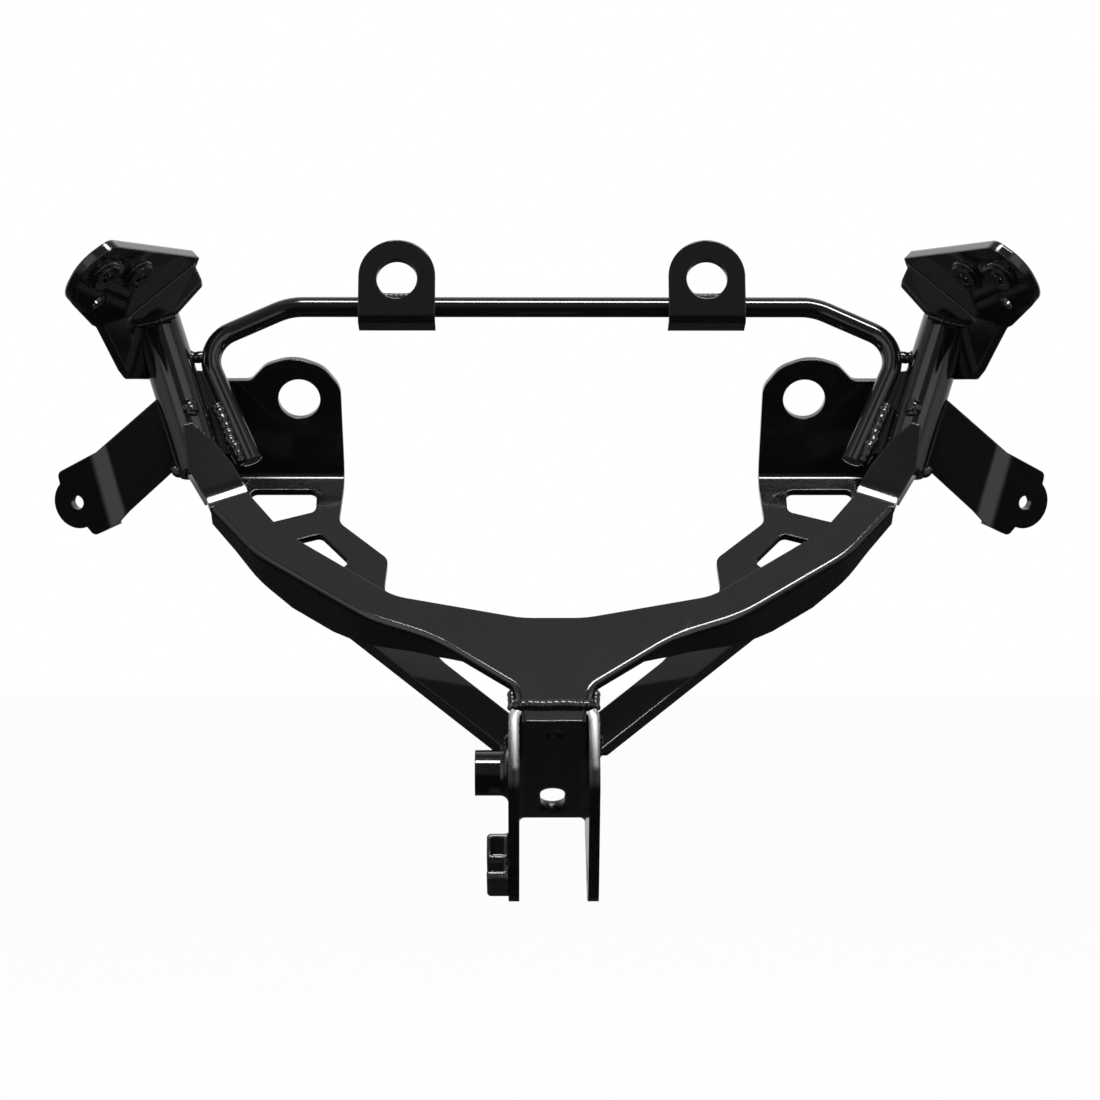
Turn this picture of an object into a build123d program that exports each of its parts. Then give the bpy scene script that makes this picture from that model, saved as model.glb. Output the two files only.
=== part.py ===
from build123d import *
from math import cos, radians, sin, tan
import os

# Welded fairing stay for a motorcycle, in millimetres.
# X runs from the stay's left to its right, Z is up, and the rider sits on the -Y side.
# The origin is the middle of the upper bolt, which fixes the clevis to the steering head lug.

os.makedirs("parts", exist_ok=True)

# Stock
SHEET = 3.2              # pressed yoke, braces, ears, tabs and fillers
CHANNEL_PLATE = 4.0      # folded clevis channel
MIRROR_PLATE = 4.0       # plates under the mirrors
TUBE_OD = 19.0
TUBE_WALL = 2.0
BAR_DIA = 8.0
HAIR = 0.01              # nearer than this is touching

# Clevis channel, drawn in its own slope: run goes forward and down, rise is square to it
CHANNEL_SLOPE = 30.0
CHANNEL_WIDTH = 33.5
CHANNEL_SHOULDER = 6.0   # outer radius of the two folds
WEB_RISE = 14.6          # from the bolt axis up to the web's outer face
WEB_LENGTH = 90.0
CHANNEL_FRONT = -28.0    # run of the square-cut near end
LEG_KNEE = -17.6         # rise of the corner at the foot of the near edge
LEG_TOE = (17.6, -44.5)
LEG_HEEL = (37.5, -34.9)
LEG_ROOT = 6.0           # rise where the leg's rear edge meets the web's end
TOE_RADIUS = 9.0
BOLT_HOLE = 8.5
LOWER_BOLT = (28.0, -28.0)
WEB_PILOT_HOLE = 5.4
WEB_PILOT_RUN = -10.0
WEB_SLOT_LENGTH = 19.7
WEB_SLOT_WIDTH = 9.5
WEB_SLOT_RUN = 45.3

# Collar and cable guide on the left leg
COLLAR_OD = 17.0
COLLAR_LENGTH = 12.5
GUIDE_REACH = 8.0
GUIDE_HEIGHT = 18.5
GUIDE_LENGTH = 15.0
GUIDE_WALL = 1.6
GUIDE_LOOP_HEIGHT = 10.2
GUIDE_FOOT = 3.5
GUIDE_END = (4.0, -32.3)       # run and rise of the middle of its near end

# Yoke: the face climbs away from the rider, then the arms stand up more steeply
YOKE_CLIMB = 38.0        # elevation of the face's normal
STEM_FOOT = (-17.0, 26.7)       # Y and Z where the face meets the channel
STEM_HALF = 12.2
STEM_OVERRUN = 8.0       # trimmed away by the channel
ARM_BEND_AT = (-126.1, 99.3)    # on the face: from the middle, and up from the stem foot
ARM_BEND_SKEW = 23.0
ARM_BEND_ANGLE = 23.0
ARM_BEND_RADIUS = 22.0
ARM_HALF = 8.1
ARM_TIP = 31.5
FOLD_RADIUS = 2.4        # outer edge between the face and its flange
FLANGE_DEPTH = 18.0
ARM_FLANGE_DEPTH = 8.0

# Uprights and meter bar share one leaning plane
FRAME_LEAN = 15.0
TUBE_FOOT = (57.0, 114.3)       # Y and Z of the tubes' square-cut feet
TUBE_FOOT_X = 136.3
TUBE_TOP_X = 159.8
TUBE_RISE = 71.5
BAR_RISE = 67.3
BAR_SHOULDER_X = 104.0
BAR_KNEE_RISE = 51.4
BAR_KNEE_GAP = 14.7      # from the tube's axis
BAR_END_RISE = 3.6
BAR_END_GAP = 20.4
BAR_SHOULDER_RADIUS = 24.0
BAR_KNEE_RADIUS = 13.0
FILLER_FOOT = 6.0        # rise of the filler plate's lower edge
FILLER_TOP = 41.0
FILLER_DIP = 0.8         # hollow of its top edge

# Meter ears
EAR_X = 61.3
EAR_WIDTH = 30.4
EAR_HOLE = 16.0
EAR_HOLE_ABOVE_BAR = 9.4
EAR_CROWN = 1.0          # the round top is struck this far above the hole
EAR_LIP = 12.0
EAR_LIP_GAP = 1.0        # below the bar
EAR_FOLD_RADIUS = 3.6

# Braces: an upper plate with the grommet hole and a lower plate that becomes the strut
BRACE_FOLD = (86.5, 112.8)      # Y and Z of the fold
BRACE_UPPER_LEAN = -24.0
BRACE_LOWER_CLIMB = 40.0
BRACE_FOLD_RADIUS = 2.5
BRACE_SIDES = (-132.0, -82.9)   # X of the left brace's sides at its fold
FOLD_FLAT = 6.0          # they run square to the fold this far
GROMMET_HOLE = 16.6
GROMMET_AT = (-100.0, 32.8)
WINDOW_CORNER = 3.0
STRUT_FLANGE = 7.0

# Mirror plates
PAD_ROLL = 42.9          # the pad falls to the outside
PAD_PITCH = 14.2         # and a little away from the rider
PAD_ORIGIN = (-151.8, 62.0, 186.1)
MIRROR_NUT_OD = 12.0
MIRROR_NUT_HEIGHT = 2.4
NUT_PILOT_HOLE = 8.5     # in the plate, for the collar of an M6 weld nut
MIRROR_TAP_DRILL = 5.0
MIRROR_NUT_FRONT = (3.7, 28.5)
MIRROR_NUT_REAR = (12.5, 50.0)
PAD_LOCATING_HOLE = 6.5
PAD_LOCATING_AT = (21.0, 34.0)
WING_YAW = 50.5          # the side wing turns outwards and towards the rider
WING_ORIGIN = (-159.0, 66.6, 150.0)

# Side tabs
TAB_LEAN = -5.0
TAB_BEND = 24.0
TAB_HOLE = 5.5
TAB_HOLE_AT = (14.8, 17.3)      # outboard of the bend, down from its top
TAB_EYE = 20.8           # round end about the hole
TAB_BEND_RADIUS = 22.0
TAB_CORNER = 2.5
TAB_STRIP = 45.0         # blank, trimmed to the outline
TAB_ORIGIN = (62.0, 130.0)      # Y and Z of a point on the root's face


def facing_rider(y, z, elevation):
    """Plane whose normal points at the rider, raised by elevation; its Y runs up the slope."""
    tilt = radians(elevation)
    return Plane(origin=(0, y, z), x_dir=(1, 0, 0), z_dir=(0, -cos(tilt), sin(tilt)))


def on_plane(plane, x, y):
    """World position of a point given in a plane's own coordinates."""
    return plane.from_local_coords((x, y, 0))


bolt_plane = Plane(
    origin=(0, 0, 0),
    x_dir=(0, cos(radians(CHANNEL_SLOPE)), -sin(radians(CHANNEL_SLOPE))),
    z_dir=(1, 0, 0),
)
frame_plane = facing_rider(*TUBE_FOOT, FRAME_LEAN)
yoke_plane = facing_rider(*STEM_FOOT, YOKE_CLIMB)
upper_brace_plane = facing_rider(*BRACE_FOLD, BRACE_UPPER_LEAN)
lower_brace_plane = facing_rider(*BRACE_FOLD, BRACE_LOWER_CLIMB)


# Clevis channel: its outer form, then the gap between the legs and the holes
channel_end = CHANNEL_FRONT + WEB_LENGTH
leg_profile = [
    (CHANNEL_FRONT, WEB_RISE),
    (CHANNEL_FRONT, LEG_KNEE),
    LEG_TOE,
    LEG_HEEL,
    (channel_end, LEG_ROOT),
    (channel_end, WEB_RISE),
]
with BuildPart() as channel_envelope:
    with BuildSketch(bolt_plane):
        with BuildLine():
            FilletPolyline(*leg_profile, radius=[0, TOE_RADIUS, TOE_RADIUS, TOE_RADIUS, 0, 0], close=True)
        make_face()
    extrude(amount=CHANNEL_WIDTH / 2, both=True)
    top_face = channel_envelope.faces().sort_by(Axis(bolt_plane.origin, bolt_plane.y_dir))[-1]
    fillet(top_face.edges().filter_by(Axis(bolt_plane.origin, bolt_plane.x_dir)), CHANNEL_SHOULDER)

gap_width = CHANNEL_WIDTH - 2 * CHANNEL_PLATE
gap_top = WEB_RISE - CHANNEL_PLATE
gap_height = gap_top - LEG_TOE[1]
gap_plane = Plane(origin=on_plane(bolt_plane, CHANNEL_FRONT, gap_top), x_dir=(-1, 0, 0), z_dir=bolt_plane.x_dir)
web_plane = Plane(origin=on_plane(bolt_plane, 0, WEB_RISE), x_dir=bolt_plane.x_dir, z_dir=bolt_plane.y_dir)
with BuildPart() as clevis_channel:
    add(channel_envelope.part)
    with BuildSketch(gap_plane):
        with BuildLine():
            inner_fold = CHANNEL_SHOULDER - CHANNEL_PLATE
            FilletPolyline(
                (-gap_width / 2, -gap_height), (-gap_width / 2, 0), (gap_width / 2, 0), (gap_width / 2, -gap_height),
                radius=[0, inner_fold, inner_fold, 0], close=True,
            )
        make_face()
    extrude(amount=WEB_LENGTH, mode=Mode.SUBTRACT)
    with BuildSketch(bolt_plane):
        with Locations((0, 0), LOWER_BOLT):
            Circle(BOLT_HOLE / 2)
    extrude(amount=CHANNEL_WIDTH, both=True, mode=Mode.SUBTRACT)
    with BuildSketch(web_plane):
        with Locations((WEB_PILOT_RUN, 0)):
            Circle(WEB_PILOT_HOLE / 2)
        with Locations((WEB_SLOT_RUN, 0)):
            SlotOverall(WEB_SLOT_LENGTH, WEB_SLOT_WIDTH)
    extrude(amount=-2 * CHANNEL_PLATE, mode=Mode.SUBTRACT)
clevis_channel.part.label = "clevis_channel"


# Collar on the left leg
with BuildPart() as clevis_collar:
    with BuildSketch(Plane.YZ.offset(-CHANNEL_WIDTH / 2)):
        Circle(COLLAR_OD / 2)
        Circle(BOLT_HOLE / 2, mode=Mode.SUBTRACT)
    extrude(amount=-COLLAR_LENGTH)
clevis_collar.part.label = "clevis_collar"


# Cable guide on the left leg, along its slope: an open loop, a recess under it and a foot
guide_plane = Plane(
    origin=on_plane(bolt_plane.offset(-CHANNEL_WIDTH / 2), *GUIDE_END), x_dir=(-1, 0, 0), z_dir=bolt_plane.x_dir
)
guide_half = GUIDE_HEIGHT / 2
loop_bottom = guide_half - GUIDE_LOOP_HEIGHT
foot_top = GUIDE_FOOT - guide_half
with BuildPart() as cable_guide:
    with BuildSketch(guide_plane):
        with BuildLine():
            FilletPolyline(
                (0, -guide_half), (0, guide_half), (GUIDE_REACH, guide_half), (GUIDE_REACH, loop_bottom),
                (GUIDE_WALL, loop_bottom), (GUIDE_WALL, foot_top), (GUIDE_REACH, foot_top), (GUIDE_REACH, -guide_half),
                radius=[0, 0, GUIDE_WALL, GUIDE_WALL / 2, 0, 0, GUIDE_WALL / 2, GUIDE_WALL], close=True,
            )
        make_face()
        with Locations((GUIDE_REACH / 2, guide_half - GUIDE_LOOP_HEIGHT / 2)):
            RectangleRounded(
                GUIDE_REACH - 2 * GUIDE_WALL, GUIDE_LOOP_HEIGHT - 2 * GUIDE_WALL, GUIDE_WALL / 2, mode=Mode.SUBTRACT
            )
    extrude(amount=GUIDE_LENGTH)
cable_guide.part.label = "cable_guide"


# Planes of the mirror plate
roll = radians(PAD_ROLL)
pitch = radians(PAD_PITCH)
wing_yaw = radians(WING_YAW)
pad_plane = Plane(
    origin=PAD_ORIGIN,
    x_dir=(-cos(roll), 0, -sin(roll)),
    z_dir=(-sin(roll) * cos(pitch), sin(pitch), cos(roll) * cos(pitch)),
)
web_front_plane = frame_plane.offset(TUBE_OD / 2 + MIRROR_PLATE)
wing_plane = Plane(
    origin=WING_ORIGIN, x_dir=(-cos(wing_yaw), -sin(wing_yaw), 0), z_dir=(-sin(wing_yaw), cos(wing_yaw), 0)
)


# Outer form of the upright tubes, whose tops are cut to the underside of the mirror pads
tube_foot = on_plane(frame_plane, -TUBE_FOOT_X, 0)
tube_top = on_plane(frame_plane, -TUBE_TOP_X, TUBE_RISE)
tube_plane = Plane(origin=tube_foot, x_dir=frame_plane.z_dir, z_dir=tube_top - tube_foot)
tube_length = (tube_top - tube_foot).length + TUBE_OD
with BuildPart() as tube_core:
    with BuildSketch(tube_plane):
        Circle(TUBE_OD / 2)
    extrude(amount=tube_length)
    split(bisect_by=pad_plane, keep=Keep.BOTTOM)


# Main yoke: left half of the face, its flange and its arm, then the mirror image
skew = radians(ARM_BEND_SKEW)
bend = radians(ARM_BEND_ANGLE)
bend_tangent = ARM_BEND_RADIUS * tan(bend / 2)
across_arm = yoke_plane.x_dir * cos(skew) + yoke_plane.y_dir * sin(skew)
up_to_bend = yoke_plane.y_dir * cos(skew) - yoke_plane.x_dir * sin(skew)
arm_up = up_to_bend * cos(bend) + yoke_plane.z_dir * sin(bend)
arm_corner = on_plane(yoke_plane, *ARM_BEND_AT)
bend_start_plane = Plane(
    origin=arm_corner - up_to_bend * bend_tangent, x_dir=across_arm, z_dir=yoke_plane.z_dir
)
bend_side_plane = Plane(origin=bend_start_plane.origin, x_dir=up_to_bend, z_dir=across_arm)
arm_plane = Plane(origin=arm_corner, x_dir=across_arm, z_dir=across_arm.cross(arm_up))
bend_left = yoke_plane.to_local_coords(on_plane(bend_start_plane, -ARM_HALF, 0))
bend_right = yoke_plane.to_local_coords(on_plane(bend_start_plane, ARM_HALF, 0))

yoke_low_points = [
    (-STEM_HALF, -STEM_OVERRUN), (-14.2, 7), (-46, 30), (-72, 40), (-113, 69), (bend_left.X, bend_left.Y)
]
yoke_low_radii = [8, 60, 60, 40]
yoke_top_points = [(bend_right.X, bend_right.Y), (-104, 81), (-60, 49.5), (-12, 39.2), (0, 39.2)]
yoke_top_radii = [40, 22, 40]
flange_depths = [   # distance from the middle, depth behind the face
    (-29, 0), (-44, 10), (-58, 14), (-84, FLANGE_DEPTH + SHEET), (-100, FLANGE_DEPTH + SHEET),
    (-122, 12), (-140, ARM_FLANGE_DEPTH), (-140, 0),
]
arm_outline = [
    (-ARM_HALF, -20), (-ARM_HALF, 0), (-10.6, 14), (-6.4, ARM_TIP), (-2.8, ARM_TIP), (2.2, 23.0), (6.6, 10),
    (ARM_HALF, 0), (ARM_HALF, -20),
]

with BuildPart() as yoke_flange:
    with BuildSketch(yoke_plane):
        with BuildLine():
            low_edge = FilletPolyline(*yoke_low_points, radius=yoke_low_radii)
            offset(amount=SHEET, side=Side.RIGHT)
        make_face()
    extrude(amount=-FLANGE_DEPTH - SHEET)
    with BuildSketch(Plane(origin=yoke_plane.origin, x_dir=(1, 0, 0), z_dir=-yoke_plane.y_dir)):
        with BuildLine():
            Polyline([(x, -depth) for x, depth in flange_depths], close=True)
        make_face()
    extrude(amount=200, both=True, mode=Mode.INTERSECT)

with BuildPart() as yoke_arm:
    with BuildSketch(bend_side_plane):
        with BuildLine():
            inner_bend = JernArc((0, 0), (1, 0), ARM_BEND_RADIUS, ARM_BEND_ANGLE)
            inner_run = PolarLine(inner_bend @ 1, ARM_TIP, ARM_BEND_ANGLE)
            offset(amount=SHEET, side=Side.RIGHT)
        make_face()
    extrude(amount=2 * ARM_HALF, both=True)
    with BuildSketch(arm_plane):
        with BuildLine():
            Polyline(arm_outline, close=True)
        make_face()
    extrude(amount=2 * ARM_HALF, both=True, mode=Mode.INTERSECT)

with BuildPart() as main_yoke:
    with BuildSketch(yoke_plane):
        with BuildLine():
            FilletPolyline(*yoke_low_points, radius=yoke_low_radii)
            Line(yoke_low_points[-1], yoke_top_points[0])
            FilletPolyline(*yoke_top_points, radius=yoke_top_radii)
            Polyline(yoke_top_points[-1], (0, -STEM_OVERRUN), yoke_low_points[0])
        make_face()
    extrude(amount=-SHEET)
    add(yoke_flange.part)
    low_line = yoke_plane.from_local_coords(low_edge)
    fillet(main_yoke.edges().filter_by(lambda edge: low_line.distance_to(edge @ 0.5) < HAIR), FOLD_RADIUS)
    add(yoke_arm.part)
    with BuildSketch(arm_plane):
        with BuildLine():
            Polyline(arm_outline[1:4])
            offset(amount=SHEET, side=Side.RIGHT)
        make_face()
    extrude(amount=-ARM_FLANGE_DEPTH)
    add(tube_core.part, mode=Mode.SUBTRACT)
    mirror(about=Plane.YZ)
    add(channel_envelope.part, mode=Mode.SUBTRACT)
main_yoke.part.label = "main_yoke"


# Meter bar, whose legs run down beside the tubes
def tube_x(rise):
    """X of the left tube's axis at a rise in the leaning plane."""
    return -TUBE_FOOT_X - (TUBE_TOP_X - TUBE_FOOT_X) * rise / TUBE_RISE


left_bar = [
    (tube_x(BAR_END_RISE) + BAR_END_GAP, BAR_END_RISE), (tube_x(BAR_KNEE_RISE) + BAR_KNEE_GAP, BAR_KNEE_RISE),
    (-BAR_SHOULDER_X, BAR_RISE),
]
right_bar = [(-x, y) for x, y in reversed(left_bar)]
bar_radii = [BAR_KNEE_RADIUS, BAR_SHOULDER_RADIUS]
with BuildPart() as meter_bar:
    with BuildLine(frame_plane) as bar_path:
        FilletPolyline(*left_bar, *right_bar, radius=bar_radii + bar_radii[::-1])
    with BuildSketch(Plane(origin=bar_path.line @ 0, z_dir=bar_path.line % 0)):
        Circle(BAR_DIA / 2)
    sweep()
meter_bar.part.label = "meter_bar"


# Filler plates between each tube and the bar's leg
filler_top_x = tube_x(FILLER_TOP)
with BuildPart() as bar_filler_left:
    with BuildSketch(frame_plane.offset(SHEET / 2)):
        with BuildLine():
            FilletPolyline(
                (filler_top_x, FILLER_TOP), (tube_x(FILLER_FOOT), FILLER_FOOT),
                (tube_x(FILLER_FOOT) + BAR_END_GAP, FILLER_FOOT), (filler_top_x + BAR_KNEE_GAP, FILLER_TOP),
                (filler_top_x + (TUBE_OD / 2 + BAR_KNEE_GAP) / 2, FILLER_TOP - FILLER_DIP),
                radius=[0, 0, 0, 0, FILLER_DIP], close=True,
            )
        make_face()
    extrude(amount=-SHEET)
    add(tube_core.part, mode=Mode.SUBTRACT)
    add(meter_bar.part, mode=Mode.SUBTRACT)
bar_filler_left.part.label = "bar_filler_left"


# Meter ears
ear_plane = frame_plane.offset(BAR_DIA / 2 + SHEET)
ear_foot = BAR_RISE - BAR_DIA / 2 - EAR_LIP_GAP - SHEET
ear_hole_rise = BAR_RISE + EAR_HOLE_ABOVE_BAR
with BuildPart() as meter_ear_left:
    with BuildSketch(ear_plane):
        with Locations((-EAR_X, ear_hole_rise + EAR_CROWN)):
            Circle(EAR_WIDTH / 2)
        ear_straight = ear_hole_rise + EAR_CROWN - ear_foot
        with Locations((-EAR_X, ear_foot + ear_straight / 2)):
            Rectangle(EAR_WIDTH, ear_straight)
        with Locations((-EAR_X, ear_hole_rise)):
            Circle(EAR_HOLE / 2, mode=Mode.SUBTRACT)
    extrude(amount=-SHEET)
    with BuildSketch(ear_plane):
        with Locations((-EAR_X, ear_foot + SHEET / 2)):
            Rectangle(EAR_WIDTH, SHEET)
    extrude(amount=-EAR_LIP)
    fold_edge = meter_ear_left.edges().filter_by(Axis.X).sort_by_distance(on_plane(ear_plane, -EAR_X, ear_foot))[0]
    fillet(fold_edge, EAR_FOLD_RADIUS)
meter_ear_left.part.label = "meter_ear_left"


# Braces
brace_upper_outline = [
    (BRACE_SIDES[0], -SHEET), (BRACE_SIDES[0], FOLD_FLAT), (-134, 40.5), (-119, 40.5), (-113, 47), (-102, 50.5),
    (-90, 46), (-83.5, 37.5), (BRACE_SIDES[1], FOLD_FLAT), (BRACE_SIDES[1], -SHEET),
]
brace_upper_radii = [0, 0, 2, 4, 8, 18, 12, 9, 0, 0]
brace_lower_outline = [
    (BRACE_SIDES[1], SHEET), (BRACE_SIDES[1], -FOLD_FLAT), (-84.2, -24.5), (-64.2, -43.5), (-65.4, -60),
    (-41.9, -94.3), (-14.5, -120.9), (-14.5, -139), (-43.8, -110.8), (-82, -74), (-88, -60), (-122, -34),
    (BRACE_SIDES[0], -FOLD_FLAT), (BRACE_SIDES[0], SHEET),
]
brace_lower_radii = [0, 0, 6, 5, 12, 20, 0, 0, 0, 10, 20, 12, 0, 0]
window_upper = [(-120, -7.6), (-93.5, -7.6), (-93.5, -19), (-112, -25), (-120, -27.5)]
window_lower = [(-106, -35.5), (-91, -30.5), (-78.8, -45), (-86, -52), (-104, -42)]
strut_edge = [(-14.5, -139), (-43.8, -110.8), (-82, -74)]
brace_fold_middle = on_plane(upper_brace_plane, GROMMET_AT[0], 0)
fold_half = (BRACE_LOWER_CLIMB - BRACE_UPPER_LEAN) / 2
fold_mitre = Plane(
    origin=upper_brace_plane.origin,
    z_dir=upper_brace_plane.y_dir.rotate(Axis.X, -fold_half),
)
with BuildPart() as brace_upper:
    with BuildSketch(upper_brace_plane):
        with BuildLine():
            FilletPolyline(*brace_upper_outline, radius=brace_upper_radii, close=True)
        make_face()
        with Locations(GROMMET_AT):
            Circle(GROMMET_HOLE / 2, mode=Mode.SUBTRACT)
    extrude(amount=-SHEET)
    split(bisect_by=fold_mitre, keep=Keep.TOP)

with BuildPart() as brace_lower:
    with BuildSketch(lower_brace_plane):
        with BuildLine():
            FilletPolyline(*brace_lower_outline, radius=brace_lower_radii, close=True)
        make_face()
        for window in (window_upper, window_lower):
            with BuildLine(mode=Mode.PRIVATE) as window_line:
                FilletPolyline(*window, radius=WINDOW_CORNER, close=True)
            make_face(window_line.edges(), mode=Mode.SUBTRACT)
    extrude(amount=-SHEET)
    split(bisect_by=fold_mitre, keep=Keep.BOTTOM)

with BuildPart() as brace_left:
    add(brace_upper.part)
    add(brace_lower.part)
    with BuildSketch(lower_brace_plane):
        with BuildLine():
            Polyline(strut_edge)
            offset(amount=SHEET, side=Side.RIGHT)
        make_face()
    extrude(amount=-STRUT_FLANGE)
    inner_fold = brace_left.edges().filter_by(Axis.X).sort_by_distance(brace_fold_middle)[0]
    fillet(inner_fold, BRACE_FOLD_RADIUS)
    outer_fold = brace_left.edges().filter_by(Axis.X).sort_by(Axis.Y)[-1]
    fillet(outer_fold, BRACE_FOLD_RADIUS + SHEET)
    add(channel_envelope.part, mode=Mode.SUBTRACT)
    add(clevis_collar.part, mode=Mode.SUBTRACT)
    add(meter_bar.part, mode=Mode.SUBTRACT)
brace_left.part.label = "brace_left"


# Mirror plate: rolled pad, web in front of the tube and yawed side wing
pad_outline = [(-7, -26), (-13, -8), (-17.8, -2), (1.7, 62), (15, 66), (28.5, 55), (30, 22), (26, -16), (20, -26)]
pad_radii = [4, 2, 2, 6, 14, 16, 10, 6, 6]
web_outline = [(-142.5, 84.5), (-137.2, 73), (-147.2, 60.8), (-154.6, 57.9), (-166, 56.5), (-166, 66), (-148, 90)]
web_radii = [0, 2, 3, 12, 0, 0, 0]
wing_outline = [(-3, 0.4), (8.6, 0), (12.3, 3.4), (22.8, 18.1), (25.5, 21.5), (31, 26), (36, 40), (-3, 40)]
wing_radii = [0, 3, 5, 10, 3, 0, 0, 0]
with BuildPart() as mirror_pad:
    with BuildSketch(pad_plane):
        with BuildLine():
            FilletPolyline(*pad_outline, radius=pad_radii, close=True)
        make_face()
        with Locations(MIRROR_NUT_REAR, MIRROR_NUT_FRONT):
            Circle(NUT_PILOT_HOLE / 2, mode=Mode.SUBTRACT)
        with Locations(PAD_LOCATING_AT):
            Circle(PAD_LOCATING_HOLE / 2, mode=Mode.SUBTRACT)
    extrude(amount=MIRROR_PLATE)

with BuildPart() as mirror_plate_left:
    with BuildSketch(wing_plane):
        with BuildLine():
            FilletPolyline(*wing_outline, radius=wing_radii, close=True)
        make_face()
    extrude(amount=MIRROR_PLATE)
    with BuildSketch(web_front_plane):
        with BuildLine():
            FilletPolyline(*web_outline, radius=web_radii, close=True)
        make_face()
    extrude(amount=-MIRROR_PLATE)
    split(bisect_by=pad_plane.offset(MIRROR_PLATE), keep=Keep.BOTTOM)
    add(mirror_pad.part)
    add(tube_core.part, mode=Mode.SUBTRACT)
mirror_plate_left.part.label = "mirror_plate_left"


# Weld nuts under the pad
with BuildPart() as mirror_nut_left_rear:
    with BuildSketch(pad_plane):
        with Locations(MIRROR_NUT_REAR):
            Circle(MIRROR_NUT_OD / 2)
            Circle(MIRROR_TAP_DRILL / 2, mode=Mode.SUBTRACT)
    extrude(amount=-MIRROR_NUT_HEIGHT)
mirror_nut_left_rear.part.label = "mirror_nut_left_rear"

with BuildPart() as mirror_nut_left_front:
    with BuildSketch(pad_plane):
        with Locations(MIRROR_NUT_FRONT):
            Circle(MIRROR_NUT_OD / 2)
            Circle(MIRROR_TAP_DRILL / 2, mode=Mode.SUBTRACT)
    extrude(amount=-MIRROR_NUT_HEIGHT)
mirror_nut_left_front.part.label = "mirror_nut_left_front"


# Upright tube
with BuildPart() as upright_tube_left:
    add(tube_core.part)
    with BuildSketch(tube_plane):
        Circle(TUBE_OD / 2 - TUBE_WALL)
    extrude(amount=tube_length, mode=Mode.SUBTRACT)
    add(mirror_plate_left.part, mode=Mode.SUBTRACT)
upright_tube_left.part.label = "upright_tube_left"


# Side tab: a root plate against the tube and a tip turned back at a bend
tab_root_plane = facing_rider(*TAB_ORIGIN, TAB_LEAN)
tab_bend_top = (-178.9, -8.6)
tab_bend_foot = (-171.0, -37.3)
tab_root_outline = [(-146, 20), tab_bend_top, tab_bend_foot, (-165.9, -31.8), (-143, -11)]
tab_bend_start = on_plane(tab_root_plane, *tab_bend_top)
tab_bend_line = on_plane(tab_root_plane, *tab_bend_foot) - tab_bend_start
tab_out = tab_bend_line.cross(tab_root_plane.z_dir)
tab_bend_axis = Axis((0, 0, 0), tab_bend_line)
tab_tip_plane = Plane(
    origin=tab_bend_start,
    x_dir=tab_out.rotate(tab_bend_axis, TAB_BEND),
    z_dir=tab_root_plane.z_dir.rotate(tab_bend_axis, TAB_BEND),
)
tab_tip_outline = [(0, 0), (20, 4), (20.5, 12), (TAB_HOLE_AT), (14.5, 26), (11.5, 31.7), (0, tab_bend_line.length)]
tab_turn = radians(TAB_BEND)
with BuildPart() as tab_strip:
    with BuildSketch(Plane(origin=tab_bend_start, x_dir=tab_out, z_dir=tab_bend_line)):
        with BuildLine():
            FilletPolyline(
                (-TAB_STRIP, 0), (0, 0), (TAB_STRIP * cos(tab_turn), TAB_STRIP * sin(tab_turn)),
                radius=TAB_BEND_RADIUS + SHEET,
            )
            offset(amount=SHEET, side=Side.LEFT)
        make_face()
    extrude(amount=TAB_STRIP, both=True)

with BuildPart() as side_tab_left:
    with BuildSketch(tab_root_plane):
        with BuildLine():
            Polyline(tab_root_outline, close=True)
        make_face()
    with BuildSketch(tab_tip_plane):
        with BuildLine():
            FilletPolyline(*tab_tip_outline, radius=[0, TAB_CORNER, 0, 0, 0, TAB_CORNER, 0], close=True)
        make_face()
        with Locations(TAB_HOLE_AT):
            Circle(TAB_EYE / 2)
            Circle(TAB_HOLE / 2, mode=Mode.SUBTRACT)
    extrude(amount=-2 * SHEET)
    add(tab_strip.part, mode=Mode.INTERSECT)
    add(tube_core.part, mode=Mode.SUBTRACT)
side_tab_left.part.label = "side_tab_left"


# Right-hand pieces
with BuildPart() as mirror_plate_right:
    mirror(mirror_plate_left.part, about=Plane.YZ)
mirror_plate_right.part.label = "mirror_plate_right"

with BuildPart() as mirror_nut_right_rear:
    mirror(mirror_nut_left_rear.part, about=Plane.YZ)
mirror_nut_right_rear.part.label = "mirror_nut_right_rear"

with BuildPart() as mirror_nut_right_front:
    mirror(mirror_nut_left_front.part, about=Plane.YZ)
mirror_nut_right_front.part.label = "mirror_nut_right_front"

with BuildPart() as upright_tube_right:
    mirror(upright_tube_left.part, about=Plane.YZ)
upright_tube_right.part.label = "upright_tube_right"

with BuildPart() as bar_filler_right:
    mirror(bar_filler_left.part, about=Plane.YZ)
bar_filler_right.part.label = "bar_filler_right"

with BuildPart() as meter_ear_right:
    mirror(meter_ear_left.part, about=Plane.YZ)
meter_ear_right.part.label = "meter_ear_right"

with BuildPart() as brace_right:
    mirror(brace_left.part, about=Plane.YZ)
brace_right.part.label = "brace_right"

with BuildPart() as side_tab_right:
    mirror(side_tab_left.part, about=Plane.YZ)
side_tab_right.part.label = "side_tab_right"


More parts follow.
